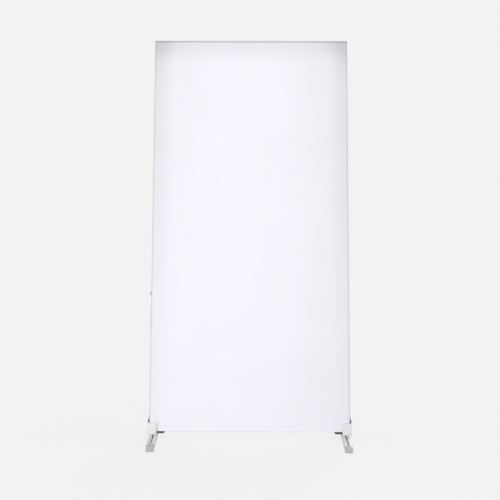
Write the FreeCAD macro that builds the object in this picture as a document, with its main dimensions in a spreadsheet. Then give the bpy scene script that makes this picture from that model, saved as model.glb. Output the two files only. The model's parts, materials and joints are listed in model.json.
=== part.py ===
import FreeCAD, Part
import math
import os

import Sketcher

# Free-standing fabric partition wall: a stretch cover zipped over an aluminium frame, held at each bottom
# corner by a moulded shoe and two cheeks, on a slotted foot that swivels and slides.
# Millimetres. X runs along the wall, -Y is the front and Z is up. The origin is on the floor, under the
# middle of the wall.

SIZES = {
    # the covered panel
    "panel_wide": 1000,
    "panel_tall": 2000,
    "panel_deep": 42,
    "cover_thick": 0.8,
    "cover_gap": 0.2,
    # frame tube and its plastic connectors
    "tube_deep": 40,
    "tube_face": 25,
    "tube_wall": 1.5,
    "tube_round": 2,
    "plug_gap": 0.1,
    "plug_reach": 35,
    "joiner_long": 110,
    "joiner_screw_rise": 32,
    "bracket_leg": 40,
    "bracket_wide": 30,
    "bracket_thick": 3,
    # self-tapping frame screws
    "tap_radius": 2,
    "tap_long": 12,
    "tap_head_radius": 4,
    "tap_head_thick": 2.4,
    "hole_gap": 0.1,
    # zip in the left side of the cover
    "zip_low": 124,
    "slider_level": 723,
    "tape_past_slider": 17,
    "tape_thick": 0.6,
    "tape_outer": 16,
    "tape_inner": 0.6,
    "teeth_half": 3,
    "teeth_thick": 2,
    "stop_tall": 3,
    "slit_half": 7,
    "slider_tall": 12,
    "slider_half": 5,
    "slider_gap": 0.2,
    "slider_plate": 1.4,
    "slider_back_plate": 0.65,
    "slider_flange": 1.7,
    "wedge_half": 0.4,
    "wedge_tall": 5,
    "bail_half": 1.3,
    "bail_tall": 10,
    "bail_rise": 5,
    "pull_pin_radius": 0.8,
    "link_half": 3.4,
    "link_thick": 1.2,
    "link_arm": 1.8,
    "link_long": 14,
    "link_plate_long": 6,
    "ribbon_long": 38,
    "ribbon_wide": 7.3,
    "ribbon_thick": 1.2,
    # corner shoe and cheeks
    "shoe_base": 10,
    "shoe_leg": 6,
    "shoe_reach": 78,
    "shoe_rise": 71,
    "base_taper": 6,
    "base_tip": 5,
    "fin_tall": 15,
    "fin_slope": 4,
    "fin_thick": 2.5,
    "fin_tip": 1.5,
    "tongue_out": 12,
    "cheek_wide": 44,
    "cheek_tall": 55,
    "cheek_proud": 20,
    "cheek_inset": 2,
    "cheek_wall": 4,
    "cheek_round": 2.5,
    "bolt_radius": 2.5,
    "bolt_long": 22,
    "bolt_head_radius": 4.5,
    "bolt_head_thick": 3.2,
    "bolt_spread": 20,
    # swivel
    "pivot_inset": 21,
    "pivot_radius": 3,
    "pivot_head_radius": 6,
    "pivot_gap": 0.1,
    "pivot_tail": 11.5,
    "washer_radius": 17,
    "washer_thick": 1,
    # foot
    "toe_in": 6,
    "foot_long": 450,
    "bar_wide": 35,
    "bar_tall": 23,
    "bar_wall": 2,
    "slot_mouth": 6.4,
    "slot_lip": 4,
    "slot_cavity": 16.6,
    "slot_cavity_tall": 8.5,
    "line_groove": 0.8,
    "nut_long": 30,
    "nut_gap": 0.2,
    "nut_tall": 6.8,
    "cap_long": 28,
    "cap_plug": 10,
    "cap_round": 3,
    "pad_thick": 2,
    "pad_long": 40,
    "pad_wide": 26,
    "pad_inset": 35,
}

# Levels and widths that several pieces share, as formulas over the sheet.
FOOT_TOP = "(dims.pad_thick + dims.bar_tall)"
SHOE_LOW = f"({FOOT_TOP} + dims.washer_thick)"
PANEL_LOW = f"({SHOE_LOW} + dims.shoe_base)"
PANEL_TOP = f"({PANEL_LOW} + dims.panel_tall)"
PANEL_SIDE = "(dims.panel_wide / 2)"
PANEL_FACE = "(dims.panel_deep / 2)"
SKIN = "(dims.cover_thick + dims.cover_gap)"
FRAME_SIDE = f"({PANEL_SIDE} - {SKIN})"
FRAME_LOW = f"({PANEL_LOW} + {SKIN})"
FRAME_TOP = f"({PANEL_TOP} - {SKIN})"
MID_LEVEL = f"({PANEL_LOW} + dims.panel_tall / 2)"
RAIL_LONG = f"(2 * {FRAME_SIDE} - 2 * dims.tube_face)"
UPRIGHT_LONG = f"(({FRAME_TOP} - {FRAME_LOW} - 2 * dims.tube_face) / 2)"
TUBE_CENTRE = "(dims.tube_face / 2)"
PLUG_SCREW = "(dims.plug_reach / 2)"
TAP_HOLE = "(dims.tap_radius + dims.hole_gap)"
PIVOT_X = f"({PANEL_SIDE} - dims.pivot_inset)"
SLOT_TOP = f"({FOOT_TOP} - dims.slot_lip)"
SLOT_LOW = f"({SLOT_TOP} - dims.slot_cavity_tall)"
TEETH_TOP = "(dims.slider_level + dims.slider_tall / 2)"

SIDES = {"left": -1, "right": 1}
ENDS = {"bottom": 1, "top": -1}
X_AXIS = FreeCAD.Vector(1, 0, 0)
Y_AXIS = FreeCAD.Vector(0, 1, 0)
Z_AXIS = FreeCAD.Vector(0, 0, 1)

doc = FreeCAD.newDocument("partition_wall")
pieces = []
cuts = []


def fill_sheet():
    """Writes the driving dimensions, each with its alias."""
    sheet = doc.addObject("Spreadsheet::Sheet", "dims")
    for row, (alias, size) in enumerate(SIZES.items(), start=1):
        sheet.set(f"A{row}", alias)
        sheet.set(f"B{row}", str(size))
        sheet.setAlias(f"B{row}", alias)


def place(piece, x="0", y="0", z="0", axis=Z_AXIS, angle="0"):
    """Puts a piece where the formulas say, turned about one axis by a formula in degrees."""
    piece.Placement = FreeCAD.Placement(FreeCAD.Vector(0, 0, 0), FreeCAD.Rotation(axis, 1))
    piece.setExpression("Placement.Base.x", x)
    piece.setExpression("Placement.Base.y", y)
    piece.setExpression("Placement.Base.z", z)
    piece.setExpression("Placement.Rotation.Angle", f"({angle}) * 1 deg")
    return piece


def keep(piece, label):
    """Names a finished sub-part, which is exported under that name."""
    piece.Label = label
    pieces.append(piece)
    return piece


# ---- PartDesign helpers ----


def new_body(label):
    return keep(doc.addObject("PartDesign::Body", label), label)


def rectangle(left, low, right, high):
    return [(left, low), (right, low), (right, high), (left, high)]


def mid_rectangle(wide, high):
    """A rectangle about the sketch's origin."""
    return rectangle(f"-({wide}) / 2", f"-({high}) / 2", f"({wide}) / 2", f"({high}) / 2")


def draw_outline(sketch, corners):
    """A closed outline of straight sides, each corner held by its two formulas."""
    first = sketch.GeometryCount
    count = len(corners)
    spots = []
    for index in range(count):
        turn = 2 * math.pi * index / count
        spots.append(FreeCAD.Vector(10 * math.cos(turn), 10 * math.sin(turn), 0))
    sides = [Part.LineSegment(spots[index], spots[(index + 1) % count]) for index in range(count)]
    sketch.addGeometry(sides, False)
    for index in range(count):
        following = first + (index + 1) % count
        sketch.addConstraint(Sketcher.Constraint("Coincident", first + index, 2, following, 1))
    for index, corner in enumerate(corners):
        for direction, formula in zip(("DistanceX", "DistanceY"), corner):
            rule = sketch.addConstraint(Sketcher.Constraint(direction, -1, 1, first + index, 1, 1.0))
            sketch.setExpression(f"Constraints[{rule}]", formula)


def draw_circle(sketch, x, y, radius):
    circle = sketch.addGeometry(Part.Circle(FreeCAD.Vector(0, 0, 0), Z_AXIS, 1), False)
    for direction, formula in (("DistanceX", x), ("DistanceY", y)):
        rule = sketch.addConstraint(Sketcher.Constraint(direction, -1, 1, circle, 3, 1.0))
        sketch.setExpression(f"Constraints[{rule}]", formula)
    rule = sketch.addConstraint(Sketcher.Constraint("Radius", circle, 1.0))
    sketch.setExpression(f"Constraints[{rule}]", radius)


def new_sketch(body, plane, outlines=(), circles=(), offset="0"):
    """A sketch on one of the body's own origin planes, or at an offset in front of it."""
    sketch = body.newObject("Sketcher::SketchObject", body.Label + "_sketch")
    roles = {feature.Role: feature for feature in body.Origin.OriginFeatures}
    sketch.AttachmentSupport = (roles[plane + "_Plane"], [""])
    sketch.MapMode = "FlatFace"
    sketch.setExpression("AttachmentOffset.Base.z", offset)
    for corners in outlines:
        draw_outline(sketch, corners)
    for x, y, radius in circles:
        draw_circle(sketch, x, y, radius)
    return sketch


def add_pad(body, plane, length, outlines=(), circles=(), offset="0", both_ways=True, back=False):
    pad = body.newObject("PartDesign::Pad", body.Label + "_pad")
    pad.Profile = new_sketch(body, plane, outlines, circles, offset)
    pad.SideType = "Symmetric" if both_ways else "One side"
    pad.Reversed = back
    pad.setExpression("Length", length)
    return pad


def add_pocket(body, plane, length, outlines=(), circles=(), offset="0", both_ways=True, back=False):
    before = body.Tip
    pocket = body.newObject("PartDesign::Pocket", body.Label + "_pocket")
    pocket.Profile = new_sketch(body, plane, outlines, circles, offset)
    pocket.SideType = "Symmetric" if both_ways else "One side"
    pocket.Reversed = back
    pocket.setExpression("Length", length)
    cuts.append((before, pocket))
    return pocket


def add_turned(body, kind, profile):
    """A Revolution or a Groove of a half profile about the body's own vertical axis."""
    before = body.Tip
    sketch = new_sketch(body, "XZ", [profile])
    turned = body.newObject("PartDesign::" + kind, f"{body.Label}_{kind}")
    turned.Profile = sketch
    turned.ReferenceAxis = (sketch, ["V_Axis"])
    turned.Angle = 360
    if kind == "Groove":
        cuts.append((before, turned))
    return turned


def round_edges(body, radius, wanted):
    """Rounds the edges of the body's tip whose middle point the test picks."""
    doc.recompute()
    base = body.Tip
    names = []
    for number, edge in enumerate(base.Shape.Edges, start=1):
        middle = edge.valueAt((edge.FirstParameter + edge.LastParameter) / 2)
        if wanted(base.Shape.BoundBox, middle):
            names.append(f"Edge{number}")
    fillet = body.newObject("PartDesign::Fillet", body.Label + "_fillet")
    fillet.Base = (base, names)
    fillet.setExpression("Radius", radius)
    return fillet


# ---- Part helpers ----


def add_box(name, x, y, z):
    """A box between two formulas along each axis."""
    box = doc.addObject("Part::Box", name)
    for length, (low, high) in zip(("Length", "Width", "Height"), (x, y, z)):
        box.setExpression(length, f"({high}) - ({low})")
    return place(box, x[0], y[0], z[0])


def add_cylinder(name, radius, length):
    cylinder = doc.addObject("Part::Cylinder", name)
    cylinder.setExpression("Radius", radius)
    cylinder.setExpression("Height", length)
    return cylinder


def add_headed_screw(name, shank, length, head, head_thick):
    """A screw with its head on top of z = 0 and its shank pointing down."""
    cap = add_cylinder(name + "_head", head, head_thick)
    stem = place(add_cylinder(name + "_shank", shank, length), z=f"-{length}")
    screw = doc.addObject("Part::Fuse", name)
    screw.Base = cap
    screw.Tool = stem
    return screw


def group(label, members):
    """Identical small pieces in one node, each its own solid."""
    compound = doc.addObject("Part::Compound", label)
    compound.Links = members
    return keep(compound, label)


# ---- Frame ----


def tube_section():
    inner = "2 * dims.tube_wall"
    return [
        mid_rectangle("dims.tube_face", "dims.tube_deep"),
        mid_rectangle(f"dims.tube_face - {inner}", f"dims.tube_deep - {inner}"),
    ]


def long_corners(along):
    """A test for the outer corner edges of a tube that runs along the given axis."""
    across = [axis for axis in "xyz" if axis != along]

    def wanted(box, middle):
        for axis in across:
            place_there = getattr(middle, axis)
            low = getattr(box, axis.upper() + "Min")
            high = getattr(box, axis.upper() + "Max")
            if min(place_there - low, high - place_there) > 0.1:
                return False
        return True

    return wanted


def add_rail(label, level, screw_inset, up):
    """A rail along X; its screw holes are in the wall that faces the given way."""
    body = new_body(label)
    section = [[(y, z) for z, y in outline] for outline in tube_section()]
    add_pad(body, "YZ", RAIL_LONG, section)
    round_edges(body, "dims.tube_round", long_corners("x"))
    screw_x = f"({RAIL_LONG} / 2 - {screw_inset})"
    holes = [(f"-{screw_x}", "0", TAP_HOLE), (screw_x, "0", TAP_HOLE)]
    add_pocket(body, "XY", "dims.tube_face", circles=holes, both_ways=False, back=up)
    place(body, z=level)


def add_upright(side, level_name, start, hole_levels):
    """Half an upright along Z; its screw holes are in the wall that faces the middle of the wall."""
    sign = SIDES[side]
    body = new_body(f"{side}_{level_name}_upright")
    add_pad(body, "XY", UPRIGHT_LONG, tube_section(), both_ways=False)
    round_edges(body, "dims.tube_round", long_corners("z"))
    holes = [("0", level, TAP_HOLE) for level in hole_levels]
    add_pocket(body, "YZ", "dims.tube_face", circles=holes, both_ways=False, back=sign < 0)
    place(body, x=f"{sign} * ({FRAME_SIDE} - {TUBE_CENTRE})", z=start)


def add_joiner(side):
    """The sleeve that joins the two halves of an upright from inside."""
    body = new_body(f"{side}_upright_joiner")
    slack = "2 * (dims.tube_wall + dims.plug_gap)"
    outer = mid_rectangle(f"dims.tube_face - {slack}", f"dims.tube_deep - {slack}")
    thinner = f"({slack} + 2 * dims.tube_wall)"
    inner = mid_rectangle(f"dims.tube_face - {thinner}", f"dims.tube_deep - {thinner}")
    add_pad(body, "XY", "dims.joiner_long", [outer, inner])
    holes = [("0", "dims.joiner_screw_rise", TAP_HOLE), ("0", "-dims.joiner_screw_rise", TAP_HOLE)]
    add_pocket(body, "YZ", "dims.tube_face", circles=holes, both_ways=False, back=SIDES[side] < 0)
    place(body, x=f"{SIDES[side]} * ({FRAME_SIDE} - {TUBE_CENTRE})", z=MID_LEVEL)


def add_corner_connector(side, end):
    """A square block with one plug into the rail and one into the upright."""
    inward = -SIDES[side]
    onward = ENDS[end]
    body = new_body(f"{end}_{side}_corner_connector")
    inset = "(dims.tube_wall + dims.plug_gap)"
    far = "(dims.tube_face - dims.tube_wall - dims.plug_gap)"
    tip = "(dims.tube_face + dims.plug_reach)"
    plugs = [(inset, inset), (tip, inset), (tip, far), (far, far), (far, tip), (inset, tip)]
    block = rectangle("0", "0", f"{inward} * dims.tube_face", f"{onward} * dims.tube_face")
    plugs = [(f"{inward} * {x}", f"{onward} * {z}") for x, z in plugs]
    add_pad(body, "XZ", "dims.tube_deep", [block])
    add_pad(body, "XZ", f"dims.tube_deep - 2 * {inset}", [plugs])
    screw = f"(dims.tube_face + {PLUG_SCREW})"
    deep = "4 * dims.tube_face"
    add_pocket(body, "XY", deep, circles=[(f"{inward} * {screw}", "0", TAP_HOLE)])
    add_pocket(body, "YZ", deep, circles=[("0", f"{onward} * {screw}", TAP_HOLE)])
    level = FRAME_LOW if end == "bottom" else FRAME_TOP
    place(body, x=f"{SIDES[side]} * {FRAME_SIDE}", z=level)


def add_mid_bracket(side):
    """An angle under the middle rail, screwed to the rail and to the upright."""
    inward = -SIDES[side]
    body = new_body(f"{side}_mid_bracket")
    leg = "dims.bracket_leg"
    thick = "dims.bracket_thick"
    along = [("0", "0"), (leg, "0"), (leg, f"-{thick}")]
    down = [(thick, f"-{thick}"), (thick, f"-{leg}"), ("0", f"-{leg}")]
    corners = [(f"{inward} * {x}", z) for x, z in along + down]
    add_pad(body, "XZ", "dims.bracket_wide", [corners])
    middle = "(dims.bracket_leg / 2)"
    add_pocket(body, "XY", leg, circles=[(f"{inward} * {middle}", "0", TAP_HOLE)])
    rise = f"({TUBE_CENTRE} - dims.joiner_screw_rise)"
    add_pocket(body, "YZ", leg, circles=[("0", rise, TAP_HOLE)])
    place(body, x=f"{SIDES[side]} * ({FRAME_SIDE} - dims.tube_face)", z=f"{MID_LEVEL} - {TUBE_CENTRE}")


def add_frame_screws():
    """One screw for every hole of the frame, heads on the inner faces."""
    spots = []
    inner_face = f"({FRAME_SIDE} - dims.tube_face)"
    plug_x = f"({FRAME_SIDE} - dims.tube_face - {PLUG_SCREW})"
    bracket_x = f"({inner_face} - dims.bracket_leg / 2)"
    bracket_low = f"({MID_LEVEL} - {TUBE_CENTRE} - dims.bracket_thick)"
    for sign in SIDES.values():
        sideways = f"-90 * {sign}"
        spots.append((f"{sign} * {plug_x}", f"{FRAME_TOP} - dims.tube_face", X_AXIS, "180"))
        spots.append((f"{sign} * {plug_x}", f"{FRAME_LOW} + dims.tube_face", X_AXIS, "0"))
        spots.append((f"{sign} * {bracket_x}", bracket_low, X_AXIS, "180"))
        for level in (
            f"{FRAME_LOW} + dims.tube_face + {PLUG_SCREW}",
            f"{FRAME_TOP} - dims.tube_face - {PLUG_SCREW}",
            f"{MID_LEVEL} + dims.joiner_screw_rise",
        ):
            spots.append((f"{sign} * {inner_face}", level, Y_AXIS, sideways))
        on_bracket = f"{sign} * ({inner_face} - dims.bracket_thick)"
        spots.append((on_bracket, f"{MID_LEVEL} - dims.joiner_screw_rise", Y_AXIS, sideways))
    screws = []
    for x, z, axis, angle in spots:
        name = f"frame_screw_{len(screws)}"
        screw = add_headed_screw(
            name, "dims.tap_radius", "dims.tap_long", "dims.tap_head_radius", "dims.tap_head_thick"
        )
        screws.append(place(screw, x=x, z=z, axis=axis, angle=angle))
    group("frame_screws", screws)


def add_frame():
    add_rail("top_rail", f"{FRAME_TOP} - {TUBE_CENTRE}", PLUG_SCREW, up=False)
    add_rail("bottom_rail", f"{FRAME_LOW} + {TUBE_CENTRE}", PLUG_SCREW, up=True)
    add_rail("mid_rail", MID_LEVEL, "dims.bracket_leg / 2", up=False)
    corner_end = PLUG_SCREW
    joiner_end = "dims.joiner_screw_rise"
    for side in SIDES:
        lower_holes = (corner_end, f"{UPRIGHT_LONG} - {joiner_end}")
        upper_holes = (joiner_end, f"{UPRIGHT_LONG} - {corner_end}")
        add_upright(side, "lower", f"{FRAME_LOW} + dims.tube_face", lower_holes)
        add_upright(side, "upper", MID_LEVEL, upper_holes)
        add_joiner(side)
        add_mid_bracket(side)
        for end in ENDS:
            add_corner_connector(side, end)
    add_frame_screws()


# ---- Cover ----


def add_cover():
    """Front and rear faces, and the gussets that join them round the edge."""
    across = (f"-{PANEL_SIDE}", PANEL_SIDE)
    upward = (PANEL_LOW, PANEL_TOP)
    inner_face = f"({PANEL_FACE} - dims.cover_thick)"
    between = (f"-{inner_face}", inner_face)
    keep(add_box("front_cover", across, (f"-{PANEL_FACE}", f"-{inner_face}"), upward), "front_cover")
    keep(add_box("rear_cover", across, (inner_face, PANEL_FACE), upward), "rear_cover")
    under = (PANEL_LOW, f"{PANEL_LOW} + dims.cover_thick")
    over = (f"{PANEL_TOP} - dims.cover_thick", PANEL_TOP)
    keep(add_box("bottom_gusset", across, between, under), "bottom_gusset")
    keep(add_box("top_gusset", across, between, over), "top_gusset")
    side_levels = (under[1], over[0])
    outer = (f"{PANEL_SIDE} - dims.cover_thick", PANEL_SIDE)
    keep(add_box("right_gusset", outer, between, side_levels), "right_gusset")
    mirrored = (f"-{PANEL_SIDE}", f"dims.cover_thick - {PANEL_SIDE}")
    strip = add_box("left_gusset_strip", mirrored, between, side_levels)
    slit_levels = ("dims.zip_low + dims.stop_tall", f"{TEETH_TOP} + dims.slider_half")
    slit = add_box("left_gusset_slit", mirrored, ("-dims.slit_half", "dims.slit_half"), slit_levels)
    gusset = doc.addObject("Part::Cut", "left_gusset")
    gusset.Base = strip
    gusset.Tool = slit
    keep(gusset, "left_gusset")


# ---- Zip ----


def span(sign, near, far):
    """The span between two distances from a plane, on its lower (-1) or upper (+1) side."""
    return (f"-({far})", f"-({near})") if sign < 0 else (near, far)


def out_from_side(near, far):
    """A span of X between two distances outside the panel's left side."""
    return (f"-{PANEL_SIDE} - ({far})", f"-{PANEL_SIDE} - ({near})")


def add_zip():
    """Two tapes with a row of teeth each, and a stop at each end."""
    tape_levels = ("dims.zip_low", f"{TEETH_TOP} + dims.tape_past_slider")
    stop_levels = ("dims.zip_low + dims.stop_tall", "dims.zip_low + 2 * dims.stop_tall")
    on_tape = out_from_side("dims.tape_thick", "dims.tape_thick + dims.teeth_thick")
    for name, sign in (("front", -1), ("rear", 1)):
        tape_y = span(sign, "dims.tape_inner", "dims.tape_outer")
        tape = add_box(f"zip_{name}_tape", out_from_side("0", "dims.tape_thick"), tape_y, tape_levels)
        keep(tape, f"zip_{name}_tape")
        teeth_y = span(sign, "dims.tape_inner", "dims.teeth_half")
        teeth = add_box(f"zip_{name}_teeth", on_tape, teeth_y, (stop_levels[1], TEETH_TOP))
        keep(teeth, f"zip_{name}_teeth")
    across = ("-dims.teeth_half", "dims.teeth_half")
    keep(add_box("zip_bottom_stop", on_tape, across, stop_levels), "zip_bottom_stop")
    top_levels = (TEETH_TOP, f"{TEETH_TOP} + dims.stop_tall")
    keep(add_box("zip_top_stop", on_tape, across, top_levels), "zip_top_stop")


# Distances outside the panel's left side, for the pieces that ride on the zip.
PLATE_IN = "(dims.tape_thick + dims.teeth_thick + dims.slider_gap)"
PLATE_OUT = f"({PLATE_IN} + dims.slider_plate)"
PIN_OUT = f"({PLATE_OUT} + dims.bail_rise / 2)"


def add_zip_slider():
    """Two plates with the teeth between them, a wedge and flanges, and a bail for the pull."""
    half = "dims.slider_half"
    low = "dims.slider_level - dims.slider_tall / 2"
    levels = (low, TEETH_TOP)
    back_near = f"-{SKIN} + dims.slider_gap / 2"
    back_far = f"{back_near} + dims.slider_back_plate"
    flange_in = f"{half} - dims.slider_flange"
    flange_out = out_from_side("dims.tape_thick + dims.slider_gap", PLATE_OUT)
    bail_levels = ("dims.slider_level - dims.bail_tall / 2", "dims.slider_level + dims.bail_tall / 2")
    wedge_y = ("-dims.wedge_half", "dims.wedge_half")
    wedge_levels = (f"{TEETH_TOP} - dims.wedge_tall", TEETH_TOP)
    bail_x = out_from_side(PLATE_IN, f"{PLATE_OUT} + dims.bail_rise")
    bail_y = ("-dims.bail_half", "dims.bail_half")
    blocks = [
        add_box("slider_plate", out_from_side(PLATE_IN, PLATE_OUT), (f"-{half}", half), levels),
        add_box("slider_back", out_from_side(back_near, back_far), (f"-{half}", half), levels),
        add_box("slider_wedge", out_from_side(back_near, PLATE_OUT), wedge_y, wedge_levels),
        add_box("slider_front_flange", flange_out, span(-1, flange_in, half), levels),
        add_box("slider_rear_flange", flange_out, span(1, flange_in, half), levels),
        add_box("slider_bail", bail_x, bail_y, bail_levels),
    ]
    solid = doc.addObject("Part::MultiFuse", "slider_blocks")
    solid.Shapes = blocks
    hole = add_cylinder("slider_pin_hole", "dims.pull_pin_radius + dims.pivot_gap", "4 * dims.bail_half")
    place(hole, f"-{PANEL_SIDE} - {PIN_OUT}", "-2 * dims.bail_half", "dims.slider_level", X_AXIS, "-90")
    slider = doc.addObject("Part::Cut", "zip_slider")
    slider.Base = solid
    slider.Tool = hole
    keep(slider, "zip_slider")


def add_zip_pull():
    """A metal link that hangs from the bail, and the woven ribbon on it."""
    half_thick = "dims.link_thick / 2"
    link_x = out_from_side(f"{PIN_OUT} - {half_thick}", f"{PIN_OUT} + {half_thick}")
    link_low = "(dims.slider_level - dims.link_long)"
    plate_top = f"{link_low} + dims.link_plate_long"
    arm_in = "dims.link_half - dims.link_arm"
    blocks = [add_box("link_plate", link_x, ("-dims.link_half", "dims.link_half"), (link_low, plate_top))]
    for name, sign in (("front", -1), ("rear", 1)):
        arm_y = span(sign, arm_in, "dims.link_half")
        blocks.append(add_box(f"link_{name}_arm", link_x, arm_y, (plate_top, "dims.slider_level")))
    pin = add_cylinder("link_pin", "dims.pull_pin_radius", "2 * dims.link_half")
    place(pin, f"-{PANEL_SIDE} - {PIN_OUT}", "-dims.link_half", "dims.slider_level", X_AXIS, "-90")
    blocks.append(pin)
    link = doc.addObject("Part::MultiFuse", "zip_pull_link")
    link.Shapes = blocks
    keep(link, "zip_pull_link")
    ribbon_near = f"{PLATE_IN} + 2 * dims.slider_gap"
    ribbon_x = out_from_side(ribbon_near, f"{ribbon_near} + dims.ribbon_wide")
    ribbon_y = ("-dims.ribbon_thick / 2", "dims.ribbon_thick / 2")
    ribbon = add_box("zip_pull_ribbon", ribbon_x, ribbon_y, (f"{link_low} - dims.ribbon_long", link_low))
    keep(ribbon, "zip_pull_ribbon")


# ---- Corner shoes and cheeks ----

# Offsets from the swivel's axis, outward positive, for the pieces round it.
CHEEK_OUT = "(dims.pivot_inset + dims.shoe_leg - dims.cheek_inset)"
CHEEK_IN = f"({CHEEK_OUT} - dims.cheek_wide)"
CHEEK_MID = f"(({CHEEK_OUT} + {CHEEK_IN}) / 2)"
BOLT_Y = f"({PANEL_FACE} + dims.tongue_out / 2)"


def bolt_spots(sign):
    """The two cheek screws on one side of the wall, as offsets from the swivel's axis."""
    return [f"{sign} * {CHEEK_MID} - dims.bolt_spread / 2", f"{sign} * {CHEEK_MID} + dims.bolt_spread / 2"]


def add_corner_shoe(side):
    """An L round the panel's bottom corner, with a thin fin up its side, a tongue under each cheek and a
    sunk swivel hole."""
    sign = SIDES[side]
    body = new_body(f"{side}_corner_shoe")
    tip = "(dims.pivot_inset - dims.shoe_reach)"
    out = "(dims.pivot_inset + dims.shoe_leg)"
    top = "(dims.shoe_base + dims.shoe_rise)"
    profile = [
        (tip, "dims.shoe_base"),
        (tip, "dims.shoe_base - dims.base_tip"),
        (f"{tip} + dims.base_taper", "0"),
        (out, "0"),
        (out, f"{top} - dims.fin_tall"),
        ("dims.pivot_inset + dims.fin_thick", f"{top} - dims.fin_tall + dims.fin_slope"),
        ("dims.pivot_inset + dims.fin_tip", top),
        ("dims.pivot_inset", top),
        ("dims.pivot_inset", "dims.shoe_base"),
    ]
    add_pad(body, "XZ", "dims.panel_deep", [[(f"{sign} * ({x})", z) for x, z in profile]])
    tongue_y = f"({PANEL_FACE} + dims.tongue_out)"
    tongue_out = f"{sign} * ({CHEEK_OUT} - dims.cheek_wall)"
    tongue_in = f"{sign} * ({CHEEK_IN} + dims.cheek_wall)"
    tongue = rectangle(tongue_in, f"-{tongue_y}", tongue_out, tongue_y)
    add_pad(body, "XY", "dims.shoe_base", [tongue], both_ways=False)
    heads = []
    shanks = []
    for x in bolt_spots(sign):
        for y in (f"-{BOLT_Y}", BOLT_Y):
            heads.append((x, y, "dims.bolt_head_radius + 3 * dims.hole_gap"))
            shanks.append((x, y, "dims.bolt_radius + dims.hole_gap"))
    add_pocket(body, "XY", "2 * (dims.bolt_head_thick + 3 * dims.hole_gap)", circles=heads)
    add_pocket(body, "XY", "4 * dims.shoe_base", circles=shanks)
    slim = "(dims.pivot_radius + dims.pivot_gap)"
    wide = "(dims.pivot_head_radius + 2 * dims.pivot_gap)"
    shank = [("0", "0"), (slim, "0"), (slim, f"dims.shoe_base - ({wide} - {slim})")]
    add_turned(body, "Groove", shank + [(wide, "dims.shoe_base"), ("0", "dims.shoe_base")])
    place(body, x=f"{sign} * {PIVOT_X}", z=SHOE_LOW)


def add_cheek(side, face):
    """A rounded block against the panel's face, notched underneath for the shoe's tongue."""
    sign = SIDES[side]
    facing = -1 if face == "front" else 1
    body = new_body(f"{side}_{face}_cheek")
    near = PANEL_FACE
    far = f"({PANEL_FACE} + dims.cheek_proud)"
    low_y, high_y = span(facing, near, far)
    block = rectangle(f"{sign} * {CHEEK_IN}", low_y, f"{sign} * {CHEEK_OUT}", high_y)
    add_pad(body, "XY", "dims.cheek_tall", [block], both_ways=False)

    def outer_edge(box, middle):
        """True for the block's edges, apart from those against the panel and those underneath."""
        panel_y = box.YMax if facing < 0 else box.YMin
        return abs(middle.y - panel_y) > 0.5 and middle.z - box.ZMin > 0.5

    round_edges(body, "dims.cheek_round", outer_edge)
    notch_low, notch_high = span(facing, f"{near} - 1", f"{near} + dims.tongue_out + dims.hole_gap")
    notch_in = f"{sign} * ({CHEEK_IN} + dims.cheek_wall - dims.hole_gap)"
    notch_out = f"{sign} * ({CHEEK_OUT} - dims.cheek_wall + dims.hole_gap)"
    notch = rectangle(notch_in, notch_low, notch_out, notch_high)
    add_pocket(body, "XY", "2 * dims.shoe_base", [notch])
    holes = [(x, f"{facing} * {BOLT_Y}", "dims.bolt_radius + dims.hole_gap / 2") for x in bolt_spots(sign)]
    add_pocket(body, "XY", "2 * (dims.bolt_head_thick + dims.bolt_long + 1)", circles=holes)
    place(body, x=f"{sign} * {PIVOT_X}", z=SHOE_LOW)


def add_cheek_screws(side):
    """The screws that come up through the tongues into both cheeks of one corner."""
    sign = SIDES[side]
    screws = []
    head_top = f"{SHOE_LOW} + dims.bolt_head_thick + dims.hole_gap"
    for x in bolt_spots(sign):
        for y in (f"-{BOLT_Y}", BOLT_Y):
            name = f"{side}_cheek_screw_{len(screws)}"
            screw = add_headed_screw(
                name, "dims.bolt_radius", "dims.bolt_long", "dims.bolt_head_radius", "dims.bolt_head_thick"
            )
            screws.append(place(screw, f"{sign} * {PIVOT_X} + ({x})", y, head_top, X_AXIS, "180"))
    group(f"{side}_cheek_screws", screws)


# ---- Swivel ----


def foot_turn(side, end="front"):
    """How far a foot piece is turned at rest: toed in, and half a turn more at the rear end."""
    return f"{-SIDES[side]} * dims.toe_in + {180 if end == 'rear' else 0}"


def add_swivel(side):
    """The sunk screw, its washer and the nut in the foot's slot, which turn with the foot."""
    sign = SIDES[side]
    x = f"{sign} * {PIVOT_X}"
    screw = new_body(f"{side}_pivot_screw")
    top = "(dims.shoe_base - dims.pivot_gap)"
    head = "dims.pivot_head_radius"
    slim = "dims.pivot_radius"
    profile = [("0", "-dims.pivot_tail"), (slim, "-dims.pivot_tail"), (slim, f"{top} - ({head} - {slim})")]
    add_turned(screw, "Revolution", profile + [(head, top), ("0", top)])
    place(screw, x=x, z=SHOE_LOW)
    washer = new_body(f"{side}_swivel_washer")
    rings = [("0", "0", "dims.washer_radius"), ("0", "0", f"{slim} + dims.pivot_gap")]
    add_pad(washer, "XY", "dims.washer_thick", circles=rings, both_ways=False)
    place(washer, x=x, z=FOOT_TOP)
    nut = new_body(f"{side}_slot_nut")
    wing = "(dims.slot_cavity / 2 - 2 * dims.nut_gap)"
    neck = "(dims.slot_mouth / 2 - dims.nut_gap)"
    shoulder = f"({SLOT_TOP} - dims.nut_gap)"
    low = f"({shoulder} - dims.nut_tall)"
    top = f"({FOOT_TOP} - 2 * dims.nut_gap)"
    right = [(wing, low), (wing, shoulder), (neck, shoulder), (neck, top)]
    left = [(f"-{x}", z) for x, z in reversed(right)]
    add_pad(nut, "XZ", "dims.nut_long", [right + left])
    add_pocket(nut, "XY", f"4 * {FOOT_TOP}", circles=[("0", "0", f"{slim} + dims.pivot_gap / 2")])
    place(nut, x=x, angle=foot_turn(side))


# ---- Foot ----


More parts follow.
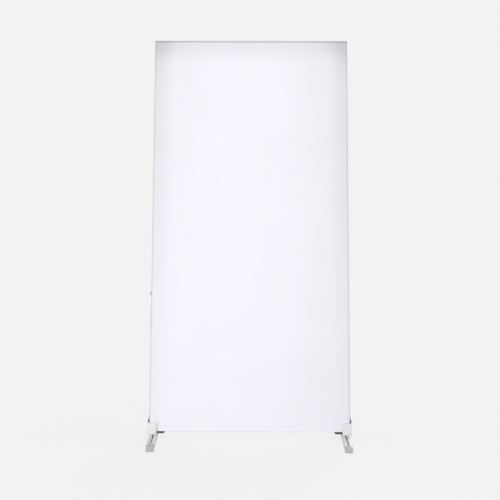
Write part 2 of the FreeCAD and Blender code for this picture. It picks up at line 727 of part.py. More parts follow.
def bar_cells():
    """The three hollow cells of the bar's section, as outlines."""
    wall = "dims.bar_wall"
    low = f"dims.pad_thick + {wall}"
    cell_in = f"dims.slot_cavity / 2 + {wall}"
    cell_out = f"dims.bar_wide / 2 - {wall}"
    high = f"{FOOT_TOP} - {wall}"
    return [
        (cell_in, low, cell_out, high),
        (f"-({cell_out})", low, f"-({cell_in})", high),
        ("-dims.slot_cavity / 2", low, "dims.slot_cavity / 2", f"{SLOT_LOW} - {wall}"),
    ]


def add_foot_bar(side):
    """The slotted, hollow extrusion, with a fine V groove along the middle of each flange."""
    body = new_body(f"{side}_foot_bar")
    half = "dims.bar_wide / 2"
    mouth = "dims.slot_mouth / 2"
    cavity = "dims.slot_cavity / 2"
    line = f"({half} + {mouth}) / 2"
    right = [(half, "dims.pad_thick"), (half, FOOT_TOP)]
    right += [(f"{line} + dims.line_groove", FOOT_TOP), (line, f"{FOOT_TOP} - dims.line_groove")]
    right += [(f"{line} - dims.line_groove", FOOT_TOP), (mouth, FOOT_TOP), (mouth, SLOT_TOP)]
    right += [(cavity, SLOT_TOP), (cavity, SLOT_LOW)]
    left = [(f"-({x})", z) for x, z in reversed(right)]
    cells = [rectangle(*cell) for cell in bar_cells()]
    add_pad(body, "XZ", "dims.foot_long - 2 * dims.cap_long", [right + left] + cells)
    place(body, x=f"{SIDES[side]} * {PIVOT_X}", angle=foot_turn(side))


def add_foot_cap(side, end):
    """A rounded end cap with plugs in the bar's cells."""
    body = new_body(f"{side}_foot_{end}_cap")
    start = "(dims.foot_long / 2 - dims.cap_long)"
    outline = rectangle("-dims.bar_wide / 2", "dims.pad_thick", "dims.bar_wide / 2", FOOT_TOP)
    add_pad(body, "XZ", "dims.cap_long", [outline], offset=start, both_ways=False)

    def tip_edge(box, middle):
        """True for the upright and top edges of the cap's outer end."""
        return middle.y - box.YMin < 0.5 and middle.z - box.ZMin > 0.5

    round_edges(body, "dims.cap_round", tip_edge)
    slack = "dims.hole_gap"
    for left, low, right, high in bar_cells():
        plug = rectangle(f"{left} + {slack}", f"{low} + {slack}", f"{right} - {slack}", f"{high} - {slack}")
        add_pad(body, "XZ", "dims.cap_plug", [plug], offset=start, both_ways=False, back=True)
    place(body, x=f"{SIDES[side]} * {PIVOT_X}", angle=foot_turn(side, end))


def add_foot_pads(side):
    """Two rubber pads under the bar, one near each end."""
    pads = []
    half = "dims.pad_wide / 2"
    far = "(dims.foot_long / 2 - dims.pad_inset)"
    for name, sign in (("front", -1), ("rear", 1)):
        along = span(sign, f"{far} - dims.pad_long", far)
        pads.append(add_box(f"{side}_{name}_pad", (f"-{half}", half), along, ("0", "dims.pad_thick")))
    node = group(f"{side}_foot_pads", pads)
    place(node, x=f"{SIDES[side]} * {PIVOT_X}", angle=foot_turn(side))


# ---- Build, check, write ----


def check_document():
    """Stops if a feature failed, a cut removed nothing, or a sub-part isn't one or more valid solids."""
    for item in doc.Objects:
        if "Invalid" in item.State or "Error" in item.State:
            raise RuntimeError(f"{item.Name} failed: {item.State}")
    for before, after in cuts:
        if before.Shape.Volume - after.Shape.Volume < 1:
            raise RuntimeError(f"{after.Name} cut nothing")
    for piece in pieces:
        shape = piece.Shape
        if shape.isNull() or not shape.isValid() or not shape.Solids:
            raise RuntimeError(f"{piece.Label} has no valid solid")


fill_sheet()
doc.recompute()
add_frame()
add_cover()
add_zip()
add_zip_slider()
add_zip_pull()
for wall_side in SIDES:
    add_corner_shoe(wall_side)
    for wall_face in ("front", "rear"):
        add_cheek(wall_side, wall_face)
    add_cheek_screws(wall_side)
    add_swivel(wall_side)
    add_foot_bar(wall_side)
    for foot_end in ("front", "rear"):
        add_foot_cap(wall_side, foot_end)
    add_foot_pads(wall_side)
doc.recompute()
check_document()

os.makedirs("parts", exist_ok=True)
for piece in pieces:
    piece.Shape.exportStep(f"parts/{piece.Label}.step")
print(f"{len(pieces)} sub-parts written")
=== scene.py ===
import json
import math

import bmesh
import bpy
from mathutils import Matrix, Vector, noise

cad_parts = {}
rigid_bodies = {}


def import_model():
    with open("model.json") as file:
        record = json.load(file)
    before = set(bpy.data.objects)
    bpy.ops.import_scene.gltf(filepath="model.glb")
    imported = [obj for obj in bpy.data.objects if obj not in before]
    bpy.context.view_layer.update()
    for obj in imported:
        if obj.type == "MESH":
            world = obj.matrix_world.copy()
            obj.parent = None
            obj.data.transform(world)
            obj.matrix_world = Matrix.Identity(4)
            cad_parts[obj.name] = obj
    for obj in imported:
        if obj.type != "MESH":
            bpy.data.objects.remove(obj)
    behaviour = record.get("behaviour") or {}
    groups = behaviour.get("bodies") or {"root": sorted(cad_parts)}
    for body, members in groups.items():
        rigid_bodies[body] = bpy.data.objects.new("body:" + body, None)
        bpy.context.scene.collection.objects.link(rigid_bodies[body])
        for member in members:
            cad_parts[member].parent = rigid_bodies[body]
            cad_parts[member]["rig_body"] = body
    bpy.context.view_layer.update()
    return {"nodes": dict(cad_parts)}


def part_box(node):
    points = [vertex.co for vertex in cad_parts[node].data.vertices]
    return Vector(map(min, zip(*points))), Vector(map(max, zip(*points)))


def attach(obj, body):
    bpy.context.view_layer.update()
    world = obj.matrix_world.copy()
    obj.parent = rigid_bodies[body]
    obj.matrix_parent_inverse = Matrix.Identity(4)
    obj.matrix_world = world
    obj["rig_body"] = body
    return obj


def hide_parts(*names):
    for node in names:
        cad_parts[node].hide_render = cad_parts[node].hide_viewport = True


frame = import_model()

# Free-standing fabric partition wall. Metres, Z up, -Y is the front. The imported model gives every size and
# place. The cover, the zip and the trims are remodelled here in detail, inside the same outlines.

MM = 0.001

# The covered panel as a plain box: half its size each way, and its middle.
FRONT_LOW, FRONT_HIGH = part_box("front_cover")
PANEL_HALF = Vector((FRONT_HIGH.x, -FRONT_LOW.y, (FRONT_HIGH.z - FRONT_LOW.z) / 2))
PANEL_MID = Vector((0, 0, FRONT_LOW.z + PANEL_HALF.z))
CLOTH_THICK = FRONT_HIGH.y - FRONT_LOW.y


# ---------------------------------------------------------------- camera, floor and lights

LENS_MM = 36
SENSOR_MM = 36
CAMERA_PLACE = (0.011, -2.558, 0.778)
# Degrees about Z, then X, then the camera's own view line
CAMERA_PAN = 0.28
CAMERA_TILT = 93.68
CAMERA_ROLL = 0.24

BACKDROP = (0.888, 0.888, 0.893)
ROOM_LIGHT = 0.66
FLOOR_HALF = 60.0
FLOOR_WHITE = 0.98
# The floor's share of real shading, which shows the shadow, and the distances over which that share fades
SHADOW_SHARE = 0.18
SHADOW_FADE = 0.55
SHADOW_END = 1.7

# Each square soft box: name, place, the point it faces, its side and its power
SOFT_BOXES = [
    ("key_light", (-0.2, -4.0, 2.8), (0.0, 0.0, 1.6), 2.8, 63),
    ("fill_light", (-1.2, -2.7, 0.25), (0.0, 0.0, 0.15), 1.2, 25),
    ("rear_light", (1.6, 4.2, 1.9), (0.0, 0.0, 1.1), 2.6, 92),
]


def add_object(name, data):
    item = bpy.data.objects.new(name, data)
    bpy.context.scene.collection.objects.link(item)
    return item


def add_camera():
    """Stands in front, just below the middle of the panel, and tilts up a little."""
    data = bpy.data.cameras.new("camera")
    data.lens = LENS_MM
    data.sensor_width = SENSOR_MM
    camera = add_object("camera", data)
    pan = Matrix.Rotation(math.radians(CAMERA_PAN), 4, "Z")
    tilt = Matrix.Rotation(math.radians(CAMERA_TILT), 4, "X")
    roll = Matrix.Rotation(math.radians(CAMERA_ROLL), 4, "Z")
    camera.matrix_world = Matrix.Translation(CAMERA_PLACE) @ pan @ tilt @ roll
    bpy.context.scene.camera = camera


def studio_strength(tree):
    """What the room gives: the backdrop's tone straight to the camera, and a softer light on the object."""
    ray = tree.nodes.new("ShaderNodeLightPath").outputs["Is Camera Ray"]
    strength = tree.nodes.new("ShaderNodeMapRange")
    strength.inputs["To Min"].default_value = ROOM_LIGHT
    strength.inputs["To Max"].default_value = 1.0
    tree.links.new(ray, strength.inputs["Value"])
    return strength.outputs["Result"]


def add_world():
    world = bpy.data.worlds.new("studio")
    world.use_nodes = True
    background = world.node_tree.nodes["Background"]
    background.inputs["Color"].default_value = (*BACKDROP, 1)
    world.node_tree.links.new(studio_strength(world.node_tree), background.inputs["Strength"])
    bpy.context.scene.world = world
    bpy.context.scene.view_settings.view_transform = "Standard"


def floor_material():
    """The backdrop's own tone, mixed with a matt white that takes a faint shadow near the object."""
    material = bpy.data.materials.new("studio_floor")
    material.use_nodes = True
    tree = material.node_tree
    tree.nodes.remove(tree.nodes["Principled BSDF"])
    glow = tree.nodes.new("ShaderNodeEmission")
    glow.inputs["Color"].default_value = (*BACKDROP, 1)
    tree.links.new(studio_strength(tree), glow.inputs["Strength"])
    matt = tree.nodes.new("ShaderNodeBsdfDiffuse")
    matt.inputs["Color"].default_value = (FLOOR_WHITE, FLOOR_WHITE, FLOOR_WHITE, 1)
    distance = tree.nodes.new("ShaderNodeVectorMath")
    distance.operation = "LENGTH"
    tree.links.new(tree.nodes.new("ShaderNodeTexCoord").outputs["Object"], distance.inputs[0])
    share = tree.nodes.new("ShaderNodeMapRange")
    share.interpolation_type = "SMOOTHSTEP"
    share.inputs["From Min"].default_value = SHADOW_FADE
    share.inputs["From Max"].default_value = SHADOW_END
    share.inputs["To Min"].default_value = SHADOW_SHARE
    share.inputs["To Max"].default_value = 0.0
    tree.links.new(distance.outputs["Value"], share.inputs["Value"])
    mix = tree.nodes.new("ShaderNodeMixShader")
    tree.links.new(share.outputs["Result"], mix.inputs[0])
    tree.links.new(glow.outputs[0], mix.inputs[1])
    tree.links.new(matt.outputs[0], mix.inputs[2])
    tree.links.new(mix.outputs[0], tree.nodes["Material Output"].inputs["Surface"])
    return material


def add_floor():
    """A pale floor, so wide that it runs into the backdrop with no horizon."""
    mesh = bpy.data.meshes.new("floor")
    corners = [(sx * FLOOR_HALF, sy * FLOOR_HALF, 0) for sx, sy in ((-1, -1), (1, -1), (1, 1), (-1, 1))]
    mesh.from_pydata(corners, [], [(0, 1, 2, 3)])
    mesh.materials.append(floor_material())
    add_object("floor", mesh)


def add_light(name, place, target, size, power):
    """A square soft box at a place, facing a target."""
    data = bpy.data.lights.new(name, "AREA")
    data.size = size
    data.energy = power
    light = add_object(name, data)
    light.visible_camera = False
    toward = Vector(target) - Vector(place)
    light.matrix_world = Matrix.Translation(place) @ toward.to_track_quat("-Z", "Y").to_matrix().to_4x4()


def add_studio():
    add_camera()
    add_world()
    add_floor()
    for soft_box in SOFT_BOXES:
        add_light(*soft_box)


# ---------------------------------------------------------------- materials

# Blender's Pointiness where an edge is just sharp enough to be rubbed by use, and where it is fully rubbed
RUBBED_FROM = 0.51
RUBBED_FULL = 0.58

# The values that a noise texture mostly stays between
NOISE_LOW = 0.3
NOISE_HIGH = 0.7


class Shader:
    """A material under construction: its Principled shader, and short ways to add nodes in front of it."""

    def __init__(self, name, roughness, **settings):
        self.material = bpy.data.materials.new(name)
        self.material.use_nodes = True
        self.tree = self.material.node_tree
        self.principled = self.tree.nodes["Principled BSDF"]
        self.principled.inputs["Roughness"].default_value = roughness
        for key, value in settings.items():
            self.principled.inputs[key.replace("_", " ").title().replace("Ior", "IOR")].default_value = value
        self.place = self.add("ShaderNodeTexCoord").outputs["Object"]

    def add(self, kind, **settings):
        node = self.tree.nodes.new(kind)
        for key, value in settings.items():
            setattr(node, key, value)
        return node

    def put(self, value, socket):
        """Sets a socket to a number or colour, or joins another socket to it."""
        if isinstance(value, bpy.types.NodeSocket):
            self.tree.links.new(value, socket)
        elif isinstance(value, tuple):
            socket.default_value = (*value, 1.0)
        else:
            socket.default_value = value

    def axes(self):
        node = self.add("ShaderNodeSeparateXYZ")
        self.put(self.place, node.inputs[0])
        return node.outputs

    def math(self, operation, first, second=0.0):
        node = self.add("ShaderNodeMath", operation=operation)
        self.put(first, node.inputs[0])
        self.put(second, node.inputs[1])
        return node.outputs[0]

    def spread(self, value, low, high, to_low=0.0, to_high=1.0):
        """The value's span from low to high, eased into another span."""
        node = self.add("ShaderNodeMapRange", interpolation_type="SMOOTHSTEP")
        for socket, number in zip(node.inputs[:5], (value, low, high, to_low, to_high)):
            self.put(number, socket)
        return node.outputs["Result"]

    def stretched(self, scale):
        """Object coordinates, scaled along each axis."""
        node = self.add("ShaderNodeMapping")
        self.put(self.place, node.inputs["Vector"])
        node.inputs["Scale"].default_value = scale
        return node.outputs["Vector"]

    def noise(self, scale, detail=3.0, stretch=(1, 1, 1)):
        node = self.add("ShaderNodeTexNoise")
        self.put(self.stretched(stretch), node.inputs["Vector"])
        self.put(scale, node.inputs["Scale"])
        self.put(detail, node.inputs["Detail"])
        return node.outputs["Fac"]

    def cells(self, scale):
        """Distance to the nearest of many scattered points, as on a moulded grain."""
        node = self.add("ShaderNodeTexVoronoi")
        self.put(self.place, node.inputs["Vector"])
        self.put(scale, node.inputs["Scale"])
        return node.outputs["Distance"]

    def ribs(self, along, pitch):
        """Rises and falls evenly along a coordinate, once in each pitch."""
        turn = self.math("MULTIPLY", along, math.tau / pitch)
        return self.spread(self.math("SINE", turn), -1.0, 1.0)

    def mix(self, factor, first, second):
        """A colour between two."""
        node = self.add("ShaderNodeMix", data_type="RGBA")
        self.put(factor, node.inputs[0])
        self.put(first, node.inputs[6])
        self.put(second, node.inputs[7])
        return node.outputs[2]

    def rubbed(self, colour, tone, wear):
        """The colour, turned towards a tone along sharp edges."""
        pointiness = self.add("ShaderNodeNewGeometry").outputs["Pointiness"]
        return self.mix(self.spread(pointiness, RUBBED_FROM, RUBBED_FULL, 0.0, wear), colour, tone)

    def bump(self, height, depth, under=None):
        """Relief as deep as the given metres where the height runs from 0 to 1, on top of another relief."""
        node = self.add("ShaderNodeBump")
        node.inputs["Distance"].default_value = depth
        self.put(height, node.inputs["Height"])
        if under is not None:
            self.put(under, node.inputs["Normal"])
        return node.outputs["Normal"]

    def done(self, colour, roughness=None, normal=None):
        self.put(colour, self.principled.inputs["Base Color"])
        if roughness is not None:
            self.put(roughness, self.principled.inputs["Roughness"])
        if normal is not None:
            self.put(normal, self.principled.inputs["Normal"])
        return self.material


def dimmed(tone, share):
    return tuple(value * share for value in tone)


def whitened(tone, share):
    """The tone, moved by a share of the way to white."""
    return tuple(value + (1 - value) * share for value in tone)


COVER_WHITE = (0.915, 0.92, 0.975)
KNIT_PITCH = 1.3 * MM
KNIT_SLANT = 0.6 * MM
KNIT_DEPTH = 0.10 * MM
SLUB_DEPTH = 0.12 * MM

# Painted shade on the cover: the share of its white that it loses in each place. Pairs are near the floor,
# and higher up.
TUBE_PAINTED_DARK = (0.05, 0.135)
SEAM_PAINTED_DARK = (0.12, 0.24)
HEM_PAINTED_DARK = 0.07
TOP_HEM_PAINTED_DARK = 0.20
RAIL_PAINTED_DARK = 0.10
CORNER_PAINTED_DARK = 0.15
# The floor lights the bottom hem, so there the hem's painted shade turns into this much of its opposite, a
# painted highlight.
LOW_HEM_LIGHT = -0.7


def cover_white_with_painted_shade(s):
    """The cover's share of white: painted shade over the tubes behind it, in seams and hems and in top
    corners, and painted light on the bottom hem.
    """
    x, y, z = s.axes()
    gap_x = s.math("SUBTRACT", PANEL_HALF.x, s.math("ABSOLUTE", x))
    gap_y = s.math("SUBTRACT", PANEL_HALF.y, s.math("ABSOLUTE", y))
    gap_top = s.math("SUBTRACT", PANEL_MID.z + PANEL_HALF.z, z)
    gap_low = s.math("SUBTRACT", z, PANEL_MID.z - PANEL_HALF.z)
    from_side = s.math("MAXIMUM", gap_x, gap_y)
    from_top = s.math("MAXIMUM", gap_top, gap_y)
    from_corner = s.math("ADD", gap_x, s.math("MULTIPLY", gap_top, 0.7))
    nearest = s.math("MINIMUM", gap_x, gap_y)
    second = s.math("MINIMUM", from_side, s.math("MINIMUM", gap_top, gap_low))
    from_seam = s.math("MAXIMUM", nearest, second)

    # Painted shade over the frame's tubes, where they block light through the cloth: a near band and a wide
    # one, deeper higher up.
    tube_shade_near = s.spread(from_side, 20 * MM, 110 * MM, 0.65, 0.0)
    tube_shade_wide = s.spread(from_side, 60 * MM, 380 * MM, 0.35, 0.0)
    tube_painted_shade = s.math("MULTIPLY", s.math("ADD", tube_shade_near, tube_shade_wide), s.spread(z, 0.2, 1.75, *TUBE_PAINTED_DARK))
    # Painted shade along each seam's groove, weaker near the floor.
    in_seam = s.spread(from_seam, 1.5 * MM, 5.5 * MM, 1.0, 0.0)
    seam_painted_shade = s.math("MULTIPLY", in_seam, s.spread(z, 0.04, 0.12, *SEAM_PAINTED_DARK))
    # Painted shade along the hems, which turns into painted light on the bottom hem.
    in_hem = s.spread(from_seam, 3 * MM, 14 * MM, HEM_PAINTED_DARK, 0.0)
    hem_painted_shade_and_light = s.math("MULTIPLY", in_hem, s.spread(gap_low, 16 * MM, 40 * MM, LOW_HEM_LIGHT, 1.0))
    # Painted shade along the top edge.
    top_hem_painted_shade = s.spread(from_top, 7 * MM, 14 * MM, TOP_HEM_PAINTED_DARK, 0.0)
    # Painted shade below the top rail.
    rail_painted_shade = s.spread(gap_top, 18 * MM, 130 * MM, RAIL_PAINTED_DARK, 0.0)
    # Painted shade in the top corners.
    corner_painted_shade = s.spread(from_corner, 0.0, 200 * MM, CORNER_PAINTED_DARK, 0.0)

    white = s.spread(s.noise(scale=5.0, detail=2.0), NOISE_LOW, NOISE_HIGH, 0.985, 1.0)
    for loss in (tube_painted_shade, seam_painted_shade, hem_painted_shade_and_light, top_hem_painted_shade, rail_painted_shade, corner_painted_shade):
        white = s.math("MULTIPLY", white, s.math("SUBTRACT", 1.0, loss))
    return white


def cover_fabric():
    """White stretch knit: slanting loops in rows, with a thicker thread here and there."""
    s = Shader("cover_fabric", 0.78, specular_ior_level=0.25, sheen_weight=0.15, sheen_roughness=0.4)
    x, y, z = s.axes()
    slant = s.math("PINGPONG", s.math("ADD", x, y), KNIT_SLANT)
    loops = s.ribs(s.math("ADD", s.math("ADD", z, y), slant), KNIT_PITCH)
    slubs = s.noise(scale=90.0, detail=2.0, stretch=(1, 1, 14))
    # The cover's white carries painted shade along its edges, seams and top corners, and painted light on the
    # bottom hem, with random slub tone.
    white = s.math("MULTIPLY", cover_white_with_painted_shade(s), s.spread(slubs, 0.35, 0.65, 0.992, 1.0))
    colour = s.mix(white, (0.0, 0.0, 0.0), COVER_WHITE)
    return s.done(colour, normal=s.bump(slubs, SLUB_DEPTH, s.bump(loops, KNIT_DEPTH)))


def woven(name, tone, pitch, roughness=0.7):
    """A narrow woven band, such as a zip's tape: fine ribs across it and finer threads along it."""
    s = Shader(name, roughness, specular_ior_level=0.3, sheen_weight=0.2)
    x, y, z = s.axes()
    ribs = s.ribs(z, pitch)
    threads = s.ribs(s.math("ADD", x, y), pitch * 0.7)
    weave = s.math("MULTIPLY", s.math("ADD", ribs, threads), 0.5)
    fuzz = s.spread(s.noise(scale=900.0, detail=2.0), NOISE_LOW, NOISE_HIGH, 0.0, 0.3)
    # Painted shade: the colour dims to 0.88 of the tone in the hollows between ribs and threads, with random
    # fuzz.
    lit = s.math("SUBTRACT", s.math("ADD", weave, 0.35), fuzz)
    return s.done(s.mix(lit, dimmed(tone, 0.88), tone), normal=s.bump(weave, 0.12 * MM))


def moulded(name, tone, roughness, depth=0.05 * MM, wear=0.0):
    """Moulded plastic or rubber with a spark-eroded grain, slight streaks and edges rubbed paler by use."""
    s = Shader(name, roughness, specular_ior_level=0.5)
    streaks = s.spread(s.noise(scale=18.0, detail=4.0, stretch=(1, 1, 3)), NOISE_LOW, NOISE_HIGH)
    colour = s.rubbed(s.mix(streaks, dimmed(tone, 0.93), tone), whitened(tone, 0.35), wear)
    handled = s.noise(scale=60.0)
    polish = s.spread(handled, NOISE_LOW, NOISE_HIGH, roughness - 0.06, roughness + 0.06)
    return s.done(colour, roughness=polish, normal=s.bump(s.cells(scale=1400.0), depth))


def metal(name, tone, roughness, scale=220.0, stretch=(1, 1, 1), wear=0.0):
    """Metal with fine lines or specks left by how it was made, and edges that use has polished."""
    s = Shader(name, roughness, metallic=1.0)
    lines = s.noise(scale, detail=4.0, stretch=stretch)
    colour = s.mix(s.spread(lines, NOISE_LOW, NOISE_HIGH), dimmed(tone, 0.86), tone)
    colour = s.rubbed(colour, whitened(tone, 0.4), wear)
    polish = s.spread(lines, NOISE_LOW, NOISE_HIGH, roughness + 0.08, roughness - 0.05)
    return s.done(colour, roughness=polish, normal=s.bump(lines, 0.03 * MM))


def foot_bar_aluminium():
    """Anodised extrusion: a pale satin grey with die lines along the bar, which lies along its own Y."""
    return metal("foot_bar_aluminium", (0.80, 0.80, 0.82), 0.55, scale=420.0, stretch=(1, 0.004, 1),
                 wear=0.5)


def frame_aluminium():
    """Mill-finish tube with die lines that run upwards."""
    return metal("frame_aluminium", (0.70, 0.70, 0.72), 0.36, scale=300.0, stretch=(1, 1, 0.01))


def make_materials():
    """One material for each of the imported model's slots, and one for the sewing thread."""
    return {
        "cover_fabric": cover_fabric(),
        "zip_tape": woven("zip_tape_weave", (0.86, 0.86, 0.89), 0.9 * MM),
        "pull_ribbon": woven("ribbon_weave", (0.97, 0.97, 0.975), 0.7 * MM, roughness=0.55),
        "thread": woven("sewing_thread", (0.80, 0.80, 0.83), 0.35 * MM),
        "zip_teeth": moulded("zip_teeth_acetal", (0.85, 0.85, 0.86), 0.35, depth=0.02 * MM),
        "zip_metal": metal("gunmetal_plate", (0.035, 0.035, 0.038), 0.42, wear=0.5),
        "frame_tube": frame_aluminium(),
        "connector": moulded("connector_nylon", (0.10, 0.10, 0.11), 0.55, wear=0.3),
        "screw": metal("zinc_screw", (0.62, 0.63, 0.66), 0.32, wear=0.4),
        "bracket": metal("galvanised_plate", (0.55, 0.56, 0.58), 0.45, scale=90.0, wear=0.3),
        "shoe": moulded("shoe_black_nylon", (0.022, 0.022, 0.025), 0.5, wear=0.25),
        "cheek": moulded("cheek_white_abs", (0.83, 0.83, 0.835), 0.5, depth=0.03 * MM),
        "foot_bar": foot_bar_aluminium(),
        "foot_cap": moulded("foot_cap_grey_nylon", (0.50, 0.50, 0.505), 0.6, wear=0.2),
        "slot_nut": metal("slot_nut_steel", (0.50, 0.50, 0.51), 0.4),
        "washer": moulded("washer_nylon", (0.62, 0.61, 0.57), 0.45),
        "pad": moulded("pad_rubber", (0.035, 0.035, 0.035), 0.8, depth=0.1 * MM),
    }


# ---------------------------------------------------------------- piece helpers

# Degrees by which faces turn at an edge that is rounded in a CAD node's copy, and at one shaded hard
BEVEL_ANGLE = 40
SHARP_ANGLE = 35


def add_piece(name, mesh, material, body, slot, *nodes, turn=0.0):
    """A finished piece: given its material, set to ride on its body, and standing for its nodes.

    turn is the angle about Z at which a mesh that lies along its own axes is placed.
    """
    piece = add_object(name, mesh)
    piece.matrix_world = Matrix.Rotation(turn, 4, "Z")
    mesh.materials.clear()
    mesh.materials.append(material)
    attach(piece, body)
    if nodes:
        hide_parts(*nodes)
    return piece


def shade_smooth(mesh, sharp_angle):
    mesh.polygons.foreach_set("use_smooth", [True] * len(mesh.polygons))
    mesh.set_sharp_from_angle(angle=math.radians(sharp_angle))


def mesh_of(name, points, faces, sharp_angle=SHARP_ANGLE):
    """A smooth mesh of the points that the faces use, with its outward side out."""
    used = sorted({index for face in faces for index in face})
    renumber = {old: new for new, old in enumerate(used)}
    mesh = bpy.data.meshes.new(name)
    mesh.from_pydata([points[index] for index in used], [], [[renumber[i] for i in face] for face in faces])
    form = bmesh.new()
    form.from_mesh(mesh)
    bmesh.ops.recalc_face_normals(form, faces=form.faces)
    form.to_mesh(mesh)
    form.free()
    shade_smooth(mesh, sharp_angle)
    return mesh


def softened(node, width, material, turn=0.0, segments=2):
    """A copy of a CAD node with its hard edges rounded. turn is its angle about Z, kept as its own axes."""
    source = frame["nodes"][node]
    form = bmesh.new()
    form.from_mesh(source.data)
    form.transform(Matrix.Rotation(-turn, 4, "Z"))
    bmesh.ops.remove_doubles(form, verts=form.verts, dist=0.005 * MM)
    bmesh.ops.dissolve_limit(form, angle_limit=math.radians(1.0), verts=form.verts, edges=form.edges)
    bend = math.radians(BEVEL_ANGLE)
    hard = [edge for edge in form.edges if edge.is_manifold and edge.calc_face_angle(0) > bend]
    bmesh.ops.bevel(form, geom=hard, offset=width, segments=segments, profile=0.5, affect="EDGES",
                    clamp_overlap=True)
    bmesh.ops.recalc_face_normals(form, faces=form.faces)
    mesh = bpy.data.meshes.new(node + "_shape")
    form.to_mesh(mesh)
    form.free()
    shade_smooth(mesh, SHARP_ANGLE)
    slot = source.data.materials[0].name
    return add_piece(node + "_detail", mesh, material, source["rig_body"], slot, node, turn=turn)


def ring_faces(start, rings, sides):
    """Four-sided faces between closed rings of points, numbered ring by ring."""
    faces = []
    for ring in range(rings - 1):
        for side in range(sides):
            a = start + ring * sides + side
            b = start + ring * sides + (side + 1) % sides
            faces.append((a, b, b + sides, a + sides))
    return faces


def tube_faces(start, rings, sides):
    """Rings of points joined into a tube with closed ends."""
    first = tuple(range(start, start + sides))
    last = tuple(start + (rings - 1) * sides + side for side in range(sides))
    return ring_faces(start, rings, sides) + [first, last]


def grid_cells(rows, columns, keep=lambda row, column: True):
    """Four-sided faces over a grid of points numbered row by row."""
    return [
        (row * columns + column, row * columns + column + 1,
         (row + 1) * columns + column + 1, (row + 1) * columns + column)
        for row in range(rows - 1)
        for column in range(columns - 1)
        if keep(row, column)
    ]


def closed_cloth(name, places, cells, thickness):
    """A cloth of even thickness. places are (outer point, outward direction) pairs, and cells their faces."""
    layer = len(places)
    points = [point for point, _ in places] + [point - outward * thickness for point, outward in places]
    faces = [list(cell) for cell in cells]
    faces += [[index + layer for index in reversed(cell)] for cell in cells]
    sides = {(cell[i - 1], cell[i]) for cell in cells for i in range(len(cell))}
    faces += [[end, start, start + layer, end + layer] for start, end in sides if (end, start) not in sides]
    return mesh_of(name, points, faces, sharp_angle=50)


def even_steps(low, high, step):
    """Numbers from low to high, evenly spaced, no further apart than the step."""
    steps = max(1, math.ceil((high - low) / step - 1e-6))
    return [low + (high - low) * i / steps for i in range(steps + 1)]


def bell(distance, reach):
    """1 at no distance, falling smoothly to a little over a third at the reach."""
    return math.exp(-((distance / reach) ** 2))


def wave(angle):
    """A sine wave between 0 and 1."""
    return 0.5 + 0.5 * math.sin(angle)


def box_section(angle, half_wide, half_thick, roundness):
    """The point at an angle round a soft-cornered oblong. Roundness 1 is an ellipse, and near 0 is a box."""
    wide = half_wide * math.copysign(abs(math.cos(angle)) ** roundness, math.cos(angle))
    thick = half_thick * math.copysign(abs(math.sin(angle)) ** roundness, math.sin(angle))
    return wide, thick


# ---------------------------------------------------------------- cover

EDGE_ROUND = 3 * MM

# The ridge that a seam's allowance raises beside it, with its puckers
RIDGE_TALL = 0.38 * MM
RIDGE_INSET = 1.8 * MM
RIDGE_REACH = 1.1 * MM
PUCKER_PITCH = 9 * MM
PUCKER_SHARE = 0.45
PUCKER_WANDER = 3

# The stretched cloth's wider gathers beside the ridge
GATHER_TALL = 0.45 * MM
GATHER_PITCH = 4.3 * PUCKER_PITCH
GATHER_REACH = 13 * MM
GATHER_WANDER = 5
WANDER_PER_METRE = 9

# Any numbers that give each seam its own wave
SEAM_SHIFT = 1.7
SEAM_SPREAD = 2.3

# The slack of the open face, which grows from a fifth of its reach from the seam
SLACK_TALL = 0.9 * MM
SLACK_REACH = 0.2
SLACK_START = 0.2
SLACK_PER_METRE = 3.3

# Relief dies out near the corners, and on the gussets it stays beside the seam.
CORNER_REACH = 12 * MM
GUSSET_REACH = 4.5 * MM

# The zip's slit, and the place below the slider where the cloth beside it gapes
SLIDER_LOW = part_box("zip_slider")[0]
SLIT_HALF = 7 * MM
SLIT_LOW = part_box("zip_bottom_stop")[0].z
SLIT_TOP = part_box("zip_top_stop")[1].z + 2 * MM
GAPE_HEIGHT = SLIDER_LOW.z - 0.12
GAPE_REACH = 0.055
GAPE_TALL = 3.2 * MM
GAPE_FADE = 12 * MM

# Distances of the mesh's lines from a seam in millimetres: close together over its ridge, then wider
SEAM_INSETS = [0, 0.5, 1.0, 1.6, 2.3, 3.2, 4.5]
FACE_INSETS = SEAM_INSETS + [6.5, 9.5, 14, 21, 30]

# The open middle of a face in cells, each with this many fine points along its side where it meets the bands
ACROSS_CELLS = 40
UP_CELLS = 80
FINE_STEPS = 8
GUSSET_ROW = 3.1 * MM
GUSSET_COLUMN = 3.4 * MM

# A stitch's middle rises and its ends dip by these shares of its radius, and its tips are thinner.
STITCH_RISE = 1.1
STITCH_DIP = 0.6
STITCH_TIP = 0.45
STITCH_RINGS = 5
STITCH_SIDES = 6

SEAM_STITCH_PITCH = 4 * MM
SEAM_STITCH_LONG = 1.5 * MM
SEAM_STITCH_RADIUS = 0.17 * MM
SEAM_STITCH_MARGIN = 6 * MM


def seam_phase(flat, axes):
    """A wave's phase that differs from seam to seam. axes are the two that the seam's faces face along."""
    return sum((axis + SEAM_SHIFT) * math.copysign(SEAM_SPREAD, flat[axis]) for axis in axes)


